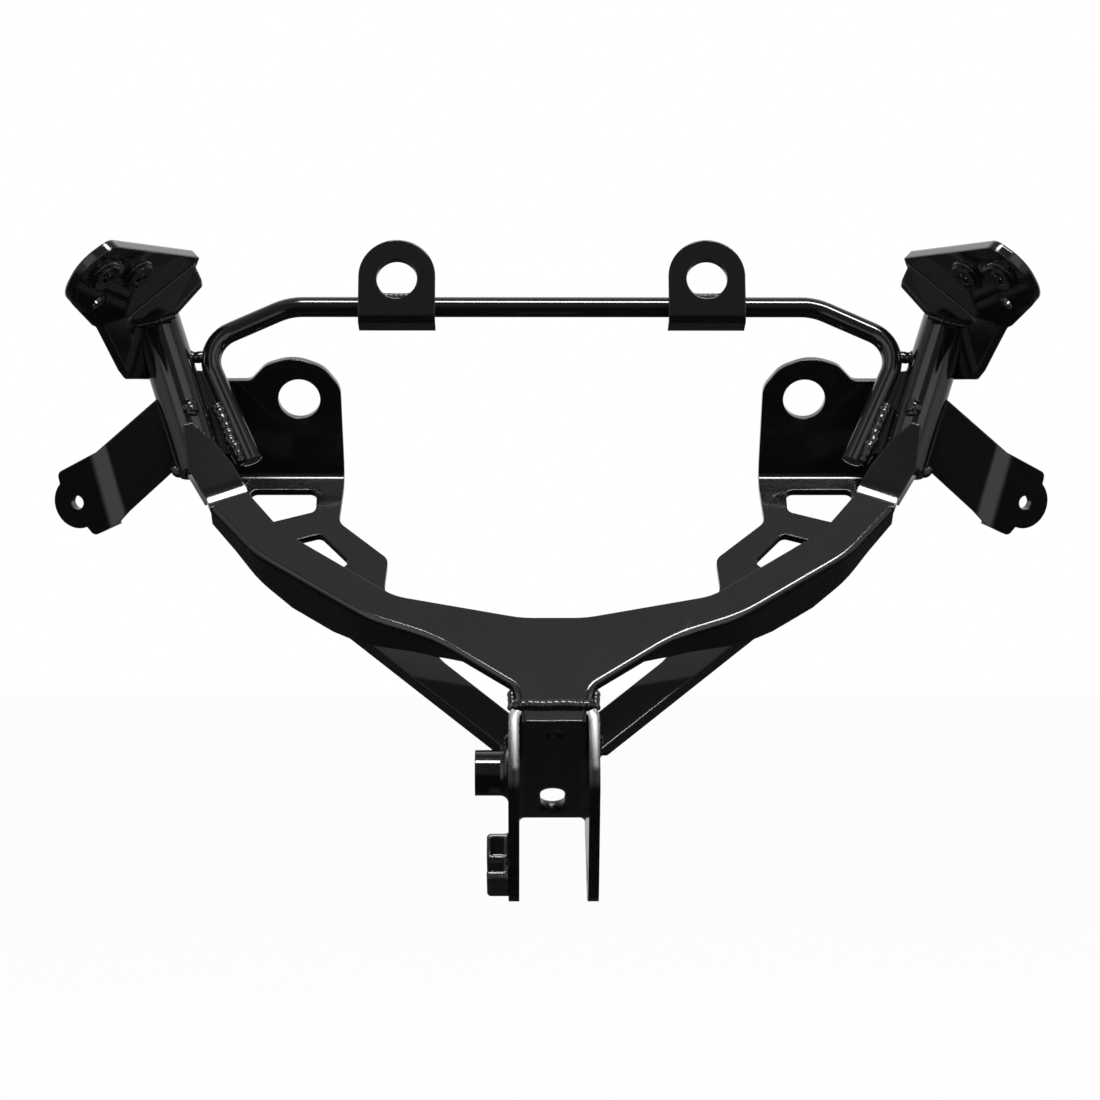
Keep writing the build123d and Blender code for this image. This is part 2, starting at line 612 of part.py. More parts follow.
export_step(main_yoke.part, "parts/main_yoke.step")
export_step(clevis_channel.part, "parts/clevis_channel.step")
export_step(clevis_collar.part, "parts/clevis_collar.step")
export_step(cable_guide.part, "parts/cable_guide.step")
export_step(meter_bar.part, "parts/meter_bar.step")
export_step(mirror_plate_left.part, "parts/mirror_plate_left.step")
export_step(mirror_plate_right.part, "parts/mirror_plate_right.step")
export_step(mirror_nut_left_rear.part, "parts/mirror_nut_left_rear.step")
export_step(mirror_nut_right_rear.part, "parts/mirror_nut_right_rear.step")
export_step(mirror_nut_left_front.part, "parts/mirror_nut_left_front.step")
export_step(mirror_nut_right_front.part, "parts/mirror_nut_right_front.step")
export_step(upright_tube_left.part, "parts/upright_tube_left.step")
export_step(upright_tube_right.part, "parts/upright_tube_right.step")
export_step(bar_filler_left.part, "parts/bar_filler_left.step")
export_step(bar_filler_right.part, "parts/bar_filler_right.step")
export_step(meter_ear_left.part, "parts/meter_ear_left.step")
export_step(meter_ear_right.part, "parts/meter_ear_right.step")
export_step(brace_left.part, "parts/brace_left.step")
export_step(brace_right.part, "parts/brace_right.step")
export_step(side_tab_left.part, "parts/side_tab_left.step")
export_step(side_tab_right.part, "parts/side_tab_right.step")
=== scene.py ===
import logging
from collections.abc import Iterable
from dataclasses import dataclass, field
from enum import Enum
from functools import reduce
from math import cos, pi, radians, sin

import bpy
import numpy as np
from mathutils import Matrix
from numpy.typing import NDArray


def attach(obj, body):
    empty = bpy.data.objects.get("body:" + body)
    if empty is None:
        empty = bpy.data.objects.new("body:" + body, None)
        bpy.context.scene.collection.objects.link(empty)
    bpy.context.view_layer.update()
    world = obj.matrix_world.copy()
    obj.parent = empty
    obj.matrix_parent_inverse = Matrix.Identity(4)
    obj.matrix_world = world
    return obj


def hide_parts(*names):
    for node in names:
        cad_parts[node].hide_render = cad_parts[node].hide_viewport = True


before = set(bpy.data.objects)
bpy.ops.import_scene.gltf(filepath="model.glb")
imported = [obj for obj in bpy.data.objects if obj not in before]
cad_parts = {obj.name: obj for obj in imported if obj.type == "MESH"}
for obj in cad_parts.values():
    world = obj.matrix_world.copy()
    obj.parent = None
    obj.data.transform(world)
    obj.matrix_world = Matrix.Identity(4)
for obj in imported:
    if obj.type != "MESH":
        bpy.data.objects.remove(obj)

# Dressed model of a motorcycle's welded fairing stay: gloss black paint on every pressed,
# turned and bent piece, and the weld beads that join them.
# Objects are in metres, in the solids' frame: +X to the stay's right, +Y away from the rider,
# +Z up. The welds are laid out in millimetres, on the left side or across the middle.

log = logging.getLogger("fairing_stay")
MM = 0.001
Points = NDArray[np.float64]
Point = tuple[float, float, float]
Faces = list[list[int]]


class Side(Enum):
    """Side of the stay that a piece belongs to; the value mirrors X."""

    LEFT = 1.0
    RIGHT = -1.0


BOTH_SIDES = (Side.LEFT, Side.RIGHT)
ONCE = (Side.LEFT,)


# ---------------------------------------------------------------- places on the solids


TUBE_RADIUS = 9.5
BAR_RADIUS = 4.0
BAR_RISE = 67.3           # of the meter bar's middle, in the leaning plane
EAR_X = -61.3
LEG_X = -16.75            # outer face of the clevis's left leg
COLLAR_RADIUS = 8.5
CLEVIS_SLOPE = 30.0
PAD_ORIGIN = (-151.8, 62.0, 186.1)
PAD_ROLL = 42.9
PAD_PITCH = 14.2
NUT_RADIUS = 6.0


@dataclass(frozen=True)
class LeaningPlane:
    """Plane that the upright tubes and the meter bar share.

    Its local X is the stay's X, its local Y climbs the slope, and its normal points at the rider,
    raised by elevation degrees.
    """

    y: float = 57.0
    z: float = 114.3
    elevation: float = 15.0

    def at(self, x: float, rise: float, out: float = 0.0) -> Point:
        """World point of a place over the plane.

        Args:
            x: local X.
            rise: local Y, up the slope.
            out: how far the point is lifted along the normal.

        Returns:
            The point in millimetres.
        """
        tilt = radians(self.elevation)
        return (x, self.y + rise * sin(tilt) - out * cos(tilt),
                self.z + rise * cos(tilt) + out * sin(tilt))


on_frame = LeaningPlane().at


def all_on_frame(places: Iterable[Point]) -> list[Point]:
    """World points of places over the leaning plane, each given by its x, rise and lift."""
    return [on_frame(*place) for place in places]


def on_leg(run: float, rise: float, x: float) -> Point:
    """World point on the clevis, whose run goes forward and down its slope."""
    slope = radians(CLEVIS_SLOPE)
    return (x, run * cos(slope) + rise * sin(slope), rise * cos(slope) - run * sin(slope))


def under_pad(x: float, y: float, below: float) -> Point:
    """World point under the left mirror pad.

    Args:
        x: place across the pad, outboard from its origin.
        y: place along the pad, towards the rider.
        below: depth under the pad's lower face.

    Returns:
        The point in millimetres.
    """
    roll, pitch = radians(PAD_ROLL), radians(PAD_PITCH)
    across = np.array([-cos(roll), 0, -sin(roll)])
    normal = np.array([-sin(roll) * cos(pitch), sin(pitch), cos(roll) * cos(pitch)])
    down = np.cross(normal, across)
    return tuple(np.array(PAD_ORIGIN) + x * across + y * down - below * normal)


def tube_axis(rise: float) -> float:
    """X of the left tube's axis at a rise in the leaning plane."""
    foot_x, lean = -136.3, 0.3287
    return foot_x - lean * rise


def bar_leg(rise: float) -> float:
    """X of the axis of the bar's left leg at a rise in the leaning plane."""
    end_x, end_rise, lean = -117.1, 3.6, 0.448
    return end_x - lean * (rise - end_rise)


# ---------------------------------------------------------------- surfaces


def smooth_path(knots: Points, count: int) -> Points:
    """Catmull-Rom curve through the knots, sampled evenly in its parameter.

    Between two knots the point is the usual cubic of the four nearest knots, with one knot more
    beyond each end, as far from it as its neighbour.

    Args:
        knots: the points to pass through, one a row.
        count: how many samples to return.

    Returns:
        The samples, one a row.
    """
    padded = np.vstack([2 * knots[0] - knots[1], knots, 2 * knots[-1] - knots[-2]])
    at = np.linspace(0, len(knots) - 1, count)
    first = np.minimum(at.astype(int), len(knots) - 2)
    t = (at - first)[:, None]
    p0, p1, p2, p3 = (padded[first + k] for k in range(4))
    return 0.5 * (2 * p1 + (p2 - p0) * t + (2 * p0 - 5 * p1 + 4 * p2 - p3) * t**2
                  + (3 * p1 - p0 - 3 * p2 + p3) * t**3)


def sweep_rings(path: Points, radii: Points, around: int) -> tuple[Points, Faces]:
    """Round section carried along a path, closed by a pole at each end.

    Ring i is the circle of radius radii[i] about path[i], in the plane square to the path there.
    The section's first axis is the cross product of the path's direction and the world axis that
    the path leans along least.

    Args:
        path: centres of the rings, one a row.
        radii: radius of each ring; the first and last count as none.
        around: points in a ring.

    Returns:
        The vertices and the faces of the closed tube: quads between rings, triangles at the poles.
    """
    tangent = np.gradient(path, axis=0)
    tangent /= np.linalg.norm(tangent, axis=1, keepdims=True)
    reference = np.eye(3)[np.argmin(np.abs(tangent).max(axis=0))]
    first = np.cross(tangent, reference)
    first /= np.linalg.norm(first, axis=1, keepdims=True)
    second = np.cross(tangent, first)
    angle = np.arange(around) * 2 * pi / around
    ring = (first[:, None] * np.cos(angle)[None, :, None]
            + second[:, None] * np.sin(angle)[None, :, None])
    rings = (path[:, None] + radii[:, None, None] * ring)[1:-1].reshape(-1, 3)

    last = len(path) - 3
    i, j = np.meshgrid(np.arange(last), np.arange(around), indexing="ij")
    right = (j + 1) % around
    quads = np.stack([i * around + j, i * around + right,
                      (i + 1) * around + right, (i + 1) * around + j], axis=-1)
    here = np.arange(around)
    after = (here + 1) % around
    first_pole, last_pole = np.full(around, len(rings)), np.full(around, len(rings) + 1)
    start = np.stack([first_pole, after, here], axis=1)
    end = np.stack([last_pole, last * around + here, last * around + after], axis=1)
    verts = np.vstack([rings, path[:1], path[-1:]])
    return verts, quads.reshape(-1, 4).tolist() + start.tolist() + end.tolist()


def revolve_profile(profile: Points, centre: Points, axis: Points,
                    around: int) -> tuple[Points, Faces]:
    """Closed profile turned about an axis.

    Vertex (i, j) is the centre, plus height i along the axis, plus radius i along the direction
    at angle j.

    Args:
        profile: distance from the axis and height along it, one point a row.
        centre: the point on the axis from which heights count.
        axis: the axis's direction, of length one.
        around: points in a turn.

    Returns:
        The vertices and the quad faces of the ring.
    """
    first = np.cross(axis, np.eye(3)[np.argmin(np.abs(axis))])
    first /= np.linalg.norm(first)
    second = np.cross(axis, first)
    angle = np.arange(around) * 2 * pi / around
    spoke = first * np.cos(angle)[:, None] + second * np.sin(angle)[:, None]
    verts = centre + profile[:, None, 1:2] * axis + profile[:, None, 0:1] * spoke[None]
    i, j = np.meshgrid(np.arange(len(profile)), np.arange(around), indexing="ij")
    down, right = (i + 1) % len(profile), (j + 1) % around
    faces = np.stack([down * around + j, down * around + right,
                      i * around + right, i * around + j], axis=-1)
    return verts.reshape(-1, 3), faces.reshape(-1, 4).tolist()


def make_piece(name: str, verts: Points, faces: Faces,
               smooth_angle: float = 180.0) -> bpy.types.Object:
    """New mesh object from whole arrays, in metres, at the origin.

    Args:
        name: the object's name.
        verts: vertices in metres, one a row.
        faces: vertex indices, one face a row.
        smooth_angle: edges that turn more than this many degrees stay sharp.

    Returns:
        The linked object.
    """
    mesh = bpy.data.meshes.new(name)
    mesh.from_pydata(verts.tolist(), [], faces)
    mesh.validate()
    mesh.polygons.foreach_set("use_smooth", np.ones(len(mesh.polygons), bool))
    mesh.set_sharp_from_angle(angle=radians(smooth_angle))
    piece = bpy.data.objects.new(name, mesh)
    bpy.context.scene.collection.objects.link(piece)
    return piece


def paint_on_root(piece: bpy.types.Object, paint: bpy.types.Material) -> None:
    """Paints a piece and rides it on the stay's one body.

    Args:
        piece: the mesh object, which has no material yet.
        paint: its finish.
    """
    piece.data.materials.append(paint)
    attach(piece, "root")


# ---------------------------------------------------------------- finishes


@dataclass(frozen=True)
class GlossBlack:
    """Gloss black paint over steel, with a faint orange peel and softly rounded edges.

    Attributes:
        name: the material's name.
        colour: linear grey of the paint.
        roughness: base roughness of the gloss.
        edge_radius: radius in metres at which the paint rounds the edges under it.
        peel: strength of the orange peel bump.
        ior: refractive index of the gloss.
        mottle_scale: blotches of tint and gloss to the metre.
        tint_share: least and most tint, as shares of the colour.
        haze_share: least and most roughness, as shares of the roughness.
        cool: how much more blue than red the tint has.
        peel_scale: bumps of the orange peel to the metre.
        peel_height: height of the bumps in metres.
    """

    name: str
    colour: float = 0.004
    roughness: float = 0.075
    edge_radius: float = 0.0007
    peel: float = 0.003
    ior: float = 1.75
    mottle_scale: float = 60.0
    tint_share: tuple[float, float] = (0.8, 1.25)
    haze_share: tuple[float, float] = (0.8, 1.3)
    cool: float = 1.05
    peel_scale: float = 420.0
    peel_height: float = 0.0002

    def material(self) -> bpy.types.Material:
        """Builds the nodes of the paint.

        Returns:
            The new material.
        """
        material = bpy.data.materials.new(self.name)
        material.use_nodes = True
        nodes, links = material.node_tree.nodes, material.node_tree.links
        nodes.clear()
        output = nodes.new("ShaderNodeOutputMaterial")
        paint = nodes.new("ShaderNodeBsdfPrincipled")
        paint.inputs["IOR"].default_value = self.ior
        paint.inputs["Metallic"].default_value = 0.0
        place = nodes.new("ShaderNodeTexCoord")

        mottle = nodes.new("ShaderNodeTexNoise")
        mottle.inputs["Scale"].default_value = self.mottle_scale
        mottle.inputs["Detail"].default_value = 3.0
        tint = nodes.new("ShaderNodeValToRGB")
        for stop, share in zip(tint.color_ramp.elements, self.tint_share):
            grey = self.colour * share
            stop.color = (grey, grey, grey * self.cool, 1)
        haze = nodes.new("ShaderNodeMapRange")
        for socket, share in zip(("To Min", "To Max"), self.haze_share):
            haze.inputs[socket].default_value = self.roughness * share

        peel_noise = nodes.new("ShaderNodeTexNoise")
        peel_noise.inputs["Scale"].default_value = self.peel_scale
        peel_noise.inputs["Detail"].default_value = 0.5
        edge = nodes.new("ShaderNodeBevel")
        edge.samples = 6
        edge.inputs["Radius"].default_value = self.edge_radius
        bump = nodes.new("ShaderNodeBump")
        bump.inputs["Strength"].default_value = self.peel
        bump.inputs["Distance"].default_value = self.peel_height

        links.new(place.outputs["Object"], mottle.inputs["Vector"])
        links.new(place.outputs["Object"], peel_noise.inputs["Vector"])
        links.new(mottle.outputs["Fac"], tint.inputs["Fac"])
        links.new(mottle.outputs["Fac"], haze.inputs["Value"])
        links.new(tint.outputs["Color"], paint.inputs["Base Color"])
        links.new(haze.outputs["Result"], paint.inputs["Roughness"])
        links.new(peel_noise.outputs["Fac"], bump.inputs["Height"])
        links.new(edge.outputs["Normal"], bump.inputs["Normal"])
        links.new(bump.outputs["Normal"], paint.inputs["Normal"])
        links.new(paint.outputs["BSDF"], output.inputs["Surface"])
        return material


# ---------------------------------------------------------------- pieces


@dataclass
class PaintedSolid:
    """A solid of the stay, its loose triangles merged and shaded smooth across its bends.

    Attributes:
        node: the solid's node in the frame.
        smooth_angle: edges that turn more than this many degrees stay sharp.
        flat_weight: how strongly large faces keep their normals flat, out of 100.
        merge_decimals: corners equal to this many decimals of a metre are one.
    """

    node: str
    smooth_angle: float = 28.0
    flat_weight: int = 80
    merge_decimals: int = 7

    def merged_triangles(self) -> tuple[Points, Faces]:
        """The node's mesh with equal corners merged and empty triangles left out.

        Returns:
            The corners in metres, one a row, and the triangles.
        """
        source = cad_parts[self.node].data
        corners = np.empty(len(source.vertices) * 3)
        source.vertices.foreach_get("co", corners)
        source.calc_loop_triangles()
        triangles = np.empty(len(source.loop_triangles) * 3, np.int32)
        source.loop_triangles.foreach_get("vertices", triangles)
        places = corners.reshape(-1, 3).round(self.merge_decimals)
        merged, index = np.unique(places, axis=0, return_inverse=True)
        triangles = index.reshape(-1)[triangles].reshape(-1, 3)
        whole = (triangles != np.roll(triangles, 1, axis=1)).all(axis=1)
        return merged, triangles[whole].tolist()

    def build(self, paint: bpy.types.Material) -> None:
        """Makes the painted copy that stands for the node.

        Args:
            paint: the solid's finish.
        """
        verts, faces = self.merged_triangles()
        piece = make_piece(f"{self.node}_painted", verts, faces, self.smooth_angle)
        flatten = piece.modifiers.new("flat_faces_stay_flat", "WEIGHTED_NORMAL")
        flatten.keep_sharp = True
        flatten.weight = self.flat_weight
        paint_on_root(piece, paint)
        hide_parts(self.node)


@dataclass
class WeldBead:
    """A rippled weld bead along a joint, in millimetres.

    Attributes:
        name: what the bead joins.
        knots: points on the joint that the bead's middle follows.
        radius: half the bead's width.
        pitch: distance from one ripple to the next.
        sides: the sides it is laid on.
        ripple: how much of the radius the ripples take away.
        wander: how far the middle strays, as a share of the radius.
        wander_knots: places along the bead at which it strays anew.
        rings_per_ripple: rings of the mesh to a ripple.
        least_rings: rings of the shortest bead.
        around: points in a ring.
        seed_factor: what the name's length counts for in the seed of the bead's strays.
    """

    name: str
    knots: Iterable[Point]
    radius: float
    pitch: float
    sides: tuple[Side, ...] = BOTH_SIDES
    ripple: float = 0.16
    wander: float = 0.12
    wander_knots: int = 9
    rings_per_ripple: int = 7
    least_rings: int = 24
    around: int = 14
    seed_factor: int = 31

    def surface(self) -> tuple[Points, Faces]:
        """Surface of the bead.

        The radius at distance s along the bead is radius * (1 - ripple + ripple |sin(pi s /
        pitch)|), drawn in to a round at both ends. The middle strays along X and Z alike.

        Returns:
            The vertices in millimetres, one a row, and the faces.
        """
        knots = np.array(list(self.knots), float)
        length = np.linalg.norm(np.diff(knots, axis=0), axis=1).sum()
        count = max(int(length / self.pitch * self.rings_per_ripple), self.least_rings)
        path = smooth_path(knots, count)
        steps = np.linalg.norm(np.diff(path, axis=0), axis=1)
        run = np.concatenate([[0], np.cumsum(steps)])
        random = np.random.default_rng(len(self.name) * self.seed_factor + count)
        stray = random.uniform(-self.wander, self.wander, self.wander_knots)
        stray = np.interp(run, np.linspace(0, run[-1], self.wander_knots), stray) * self.radius
        path = path + stray[:, None] * np.array([1.0, 0.0, 1.0])
        swell = 1 - self.ripple + self.ripple * np.abs(np.sin(pi * run / self.pitch))
        from_end = np.minimum(run, run[-1] - run) / self.radius
        rounding = np.sqrt(np.clip(1 - (1 - np.clip(from_end, 0, 1)) ** 2, 0, 1))
        return sweep_rings(path, self.radius * swell * rounding, self.around)

    def build(self, paint: bpy.types.Material) -> None:
        """Lays the bead on each of its sides.

        Args:
            paint: the bead's finish.
        """
        verts, faces = self.surface()
        for side in self.sides:
            mirrored = verts * np.array([side.value, 1, 1]) * MM
            outward = faces if side is Side.LEFT else [face[::-1] for face in faces]
            suffix = f"_{side.name.lower()}" if len(self.sides) > 1 else ""
            paint_on_root(make_piece(f"weld_{self.name}{suffix}", mirrored, outward), paint)
        log.info("laid the %s weld", self.name)


@dataclass
class CollarFillet:
    """Concave weld fillet where the collar stands on the left leg.

    Attributes:
        reach: how far it spreads on the leg and up the collar.
        tuck: how deep it reaches into the collar.
        sink: how deep it reaches into the leg.
        steps: points along the hollow.
        around: points in a turn.
    """

    reach: float = 3.2
    tuck: float = 0.5
    sink: float = 0.2
    steps: int = 9
    around: int = 72

    def build(self, paint: bpy.types.Material) -> None:
        """Turns a quarter-round hollow about the bolt's axis, from the collar's side to the leg.

        Args:
            paint: the fillet's finish.
        """
        turn = np.linspace(0, pi / 2, self.steps)
        hollow = np.stack([COLLAR_RADIUS + self.reach * (1 - np.cos(turn)),
                           self.reach * (1 - np.sin(turn))], axis=1)
        inner = COLLAR_RADIUS - self.tuck
        profile = np.vstack([[[inner, -self.sink], [inner, self.reach]], hollow])
        outboard = np.array([-1.0, 0, 0])
        verts, faces = revolve_profile(profile, np.array([LEG_X, 0, 0]), outboard, self.around)
        paint_on_root(make_piece("weld_collar", verts * MM, faces, smooth_angle=50), paint)


@dataclass(frozen=True)
class StemWelds:
    """Welds where the yoke's stem stands on the clevis.

    Attributes:
        front: points across the stem's foot.
        side: points up the stem's left side.
    """

    front: tuple[Point, ...] = ((-15.2, -13.6, 24.4), (-12.4, -17.4, 26.0), (0, -17.8, 26.3),
                                (12.4, -17.4, 26.0), (15.2, -13.6, 24.4))
    side: tuple[Point, ...] = ((-15.6, -13.5, 24.0), (-15.4, -11.2, 27.2), (-15.8, -8.2, 31.0))

    def beads(self) -> list[WeldBead]:
        """The bead across the foot and one up each side."""
        return [WeldBead("stem", self.front, radius=2.1, pitch=2.4, sides=ONCE),
                WeldBead("stem_side", self.side, radius=1.7, pitch=2.0)]


@dataclass(frozen=True)
class BarLegWelds:
    """Welds between the upright tube, the filler plate and the bar's leg.

    Attributes:
        leg_stations: rise and lift of the rippled bead along the leg.
        leg_gap: how far it lies outboard of the leg's side.
        bridge: x and rise of the bead that closes the corner over the filler.
        tube_rises: rises of the fillet behind the filler, at the tube.
        tube_gap: how far that fillet lies off the tube's side.
        bar_rises: rises of the fillet behind the filler, at the leg.
        back: lift of both fillets.
    """

    leg_stations: tuple[tuple[float, float], ...] = ((1.5, 1.0), (8, 2.4), (15, 1.8), (21, 2.6),
                                                     (27, 1.8))
    leg_gap: float = 0.8
    bridge: tuple[tuple[float, float], ...] = ((-145.0, 48.0), (-140.2, 46.4), (-135.4, 47.4))
    tube_rises: tuple[float, ...] = (7, 18, 29, 40)
    tube_gap: float = 0.1
    bar_rises: tuple[float, ...] = (7, 18, 29, 38)
    back: float = -1.9

    def beads(self) -> list[WeldBead]:
        """Lays out the joint's welds.

        Returns:
            The rippled bead, the bridge and the two fillets behind.
        """
        outboard = BAR_RADIUS + self.leg_gap
        leg = [on_frame(bar_leg(rise) - outboard, rise, lift) for rise, lift in self.leg_stations]
        bridge = [on_frame(x, rise) for x, rise in self.bridge]
        inboard = TUBE_RADIUS + self.tube_gap
        tube_back = [on_frame(tube_axis(r) + inboard, r, self.back) for r in self.tube_rises]
        bar_back = [on_frame(bar_leg(r) - BAR_RADIUS, r, self.back) for r in self.bar_rises]
        return [WeldBead("bar_filler", leg, radius=2.6, pitch=3.1),
                WeldBead("bar_bridge", bridge, radius=2.4, pitch=4.0),
                WeldBead("tube_filler_back", tube_back, radius=1.1, pitch=1.9),
                WeldBead("bar_filler_back", bar_back, radius=1.2, pitch=1.9)]


@dataclass(frozen=True)
class TubeFootWelds:
    """Welds at the foot of the upright tube, for the yoke's tip and the side tab.

    Attributes:
        tip: x, rise and lift along the lump over the yoke's tip.
        bump: x, rise and lift along the lump under the tab.
        tab_rises: rises of the fillets along the tab's root.
        root: how far inside the tube's side the front fillet lies, and its lift.
        root_back: the same for the fillet behind the tab.
    """

    tip: tuple[Point, ...] = ((-143.0, 26.0, 6.6), (-141.4, 22.4, 7.6), (-140.0, 18.6, 8.0))
    bump: tuple[Point, ...] = ((-148.2, 1.2, 0.5), (-146.4, -1.4, 0.8), (-144.4, -1.8, 1.4))
    tab_rises: tuple[float, ...] = (2, 11, 20, 28)
    root: tuple[float, float] = (0.5, -3.2)
    root_back: tuple[float, float] = (2.3, -7.2)

    def along_root(self, inside: float, lift: float) -> list[Point]:
        """Points down the tab's root, inside the tube's side and lifted."""
        return [on_frame(tube_axis(r) - TUBE_RADIUS + inside, r, lift) for r in self.tab_rises]

    def beads(self) -> list[WeldBead]:
        """Lays out the foot's welds.

        Returns:
            The two lumps and the two fillets.
        """
        return [WeldBead("yoke_tip", all_on_frame(self.tip), radius=3.5, pitch=6.0),
                WeldBead("tab_bump", all_on_frame(self.bump), radius=1.9, pitch=2.4),
                WeldBead("tab_root", self.along_root(*self.root), radius=1.3, pitch=2.1),
                WeldBead("tab_root_back", self.along_root(*self.root_back), radius=1.3, pitch=2.1)]


@dataclass(frozen=True)
class MirrorPlateWelds:
    """Welds of the mirror plate's web, to the wing at its foot and to the pad over it.

    Attributes:
        foot: x, rise and lift along the web's foot.
        seam: x, rise and lift along the pad's underside.
    """

    foot: tuple[Point, ...] = ((-147.6, 60.6, 9.0), (-155.0, 57.6, 10.2), (-163.0, 56.4, 8.6))
    seam: tuple[Point, ...] = ((-147.6, 79.0, 13.2), (-153.5, 73.0, 13.3), (-160.0, 66.5, 13.2))

    def beads(self) -> list[WeldBead]:
        """The bead at the foot and the one under the pad."""
        return [WeldBead("head_foot", all_on_frame(self.foot), radius=1.2, pitch=1.9),
                WeldBead("pad_web", all_on_frame(self.seam), radius=0.9, pitch=1.8)]


@dataclass(frozen=True)
class EarWelds:
    """Welds of the meter ear to the bar.

    Attributes:
        over_xs: x of the points along the top of the bar.
        over: rise over the bar's middle, and lift, of those points.
        under_xs: x of the points along its underside.
        under: drop below the bar's middle, and lift, of those points.
    """

    over_xs: tuple[float, ...] = (-73, EAR_X, -50)
    over: tuple[float, float] = (3.4, 3.4)
    under_xs: tuple[float, ...] = (-74, EAR_X, -49)
    under: tuple[float, float] = (3.6, 2.4)

    def beads(self) -> list[WeldBead]:
        """Lays out the ear's welds.

        Returns:
            One bead over the bar and one under it.
        """
        rise, lift = self.over
        drop, low_lift = self.under
        over = [on_frame(x, BAR_RISE + rise, lift) for x in self.over_xs]
        under = [on_frame(x, BAR_RISE - drop, low_lift) for x in self.under_xs]
        return [WeldBead("ear_bar", over, radius=1.3, pitch=2.0),
                WeldBead("ear_bar_under", under, radius=1.1, pitch=2.0)]


@dataclass(frozen=True)
class BraceAndGuideWelds:
    """Welds of the brace to the bar's leg and the clevis, and of the cable guide to the clevis.

    Attributes:
        bar_rises: rises of the bead on the bar's leg.
        bar_inside: how far it lies inboard of the leg's axis.
        bar_lift: its lift.
        strut: y and z along the strut's end, on the clevis's left leg.
        strut_proud: how far that bead stands off the leg.
        guide_runs: runs along the guide's top edge.
        guide_rise: rise of that edge.
        guide_proud: how far its bead stands off the leg.
    """

    bar_rises: tuple[float, ...] = (27, 32, 37)
    bar_inside: float = 1.6
    bar_lift: float = -3.9
    strut: tuple[tuple[float, float], ...] = ((-6.5, 14.0), (-1.2, 10.4), (4.2, 6.0))
    strut_proud: float = 0.3
    guide_runs: tuple[float, ...] = (5, 11, 18)
    guide_rise: float = -22.9
    guide_proud: float = 0.2

    def beads(self) -> list[WeldBead]:
        """Lays out the welds of brace and guide.

        Returns:
            The brace's two beads and the guide's one.
        """
        bar = [on_frame(bar_leg(r) + self.bar_inside, r, self.bar_lift) for r in self.bar_rises]
        strut = [(LEG_X - self.strut_proud, y, z) for y, z in self.strut]
        guide = [on_leg(run, self.guide_rise, LEG_X - self.guide_proud) for run in self.guide_runs]
        return [WeldBead("brace_bar", bar, radius=1.5, pitch=2.0),
                WeldBead("strut_channel", strut, radius=1.3, pitch=2.0),
                WeldBead("guide_top", guide, radius=1.2, pitch=1.9, sides=ONCE)]


@dataclass(frozen=True)
class NutWelds:
    """Ring welds round the mirror nuts, under the pad.

    Attributes:
        nuts: name, and x and y on the pad, of each nut.
        gap: how far outside the nut the ring's middle runs.
        below: how far below the pad it runs.
        turn: angle that the ring covers, a little past a full turn so that its ends overlap.
        knots: points round the ring.
    """

    nuts: tuple[tuple[str, float, float], ...] = (("rear", 12.5, 50.0), ("front", 3.7, 28.5))
    gap: float = 0.1
    below: float = 0.1
    turn: float = 2.04 * pi
    knots: int = 25

    def beads(self) -> list[WeldBead]:
        """Lays out the rings.

        Returns:
            One bead a nut.
        """
        ring = NUT_RADIUS + self.gap
        angles = np.linspace(0, self.turn, self.knots)
        return [WeldBead(f"nut_{name}", [under_pad(x + ring * cos(a), y + ring * sin(a), self.below)
                                         for a in angles], radius=0.8, pitch=1.7)
                for name, x, y in self.nuts]


@dataclass
class FairingStay:
    """The whole weldment: its painted solids and its welds.

    Attributes:
        sheet: paint on thin sheet, tube and bar.
        plate: paint on the nodes named in plate_nodes, whose edges it rounds more.
        clevis: paint on the folded channel, whose cut edges it rounds all over.
        weld: paint on the beads, which is duller.
        plate_nodes: nodes that have the plate's paint.
    """

    sheet: GlossBlack = GlossBlack("gloss_black_sheet")
    plate: GlossBlack = GlossBlack("gloss_black_plate", edge_radius=0.0014)
    clevis: GlossBlack = GlossBlack("gloss_black_clevis", edge_radius=0.0032)
    weld: GlossBlack = GlossBlack("gloss_black_weld", roughness=0.16, peel=0.06)
    plate_nodes: tuple[str, ...] = ("cable_guide", "mirror_plate_left", "mirror_plate_right")

    def build(self) -> None:
        """Paints every solid and lays the welds."""
        sheet, plate, weld = self.sheet.material(), self.plate.material(), self.weld.material()
        paints = {node: plate for node in self.plate_nodes}
        paints["clevis_channel"] = self.clevis.material()
        for node in sorted(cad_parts):
            PaintedSolid(node).build(paints.get(node, sheet))
            log.info("painted %s", node)
        for welds in (StemWelds(), BarLegWelds(), TubeFootWelds(), MirrorPlateWelds(), EarWelds(),
                      BraceAndGuideWelds(), NutWelds()):
            for bead in welds.beads():
                bead.build(weld)
        CollarFillet().build(weld)
        log.info("laid the collar's weld")


# ---------------------------------------------------------------- studio


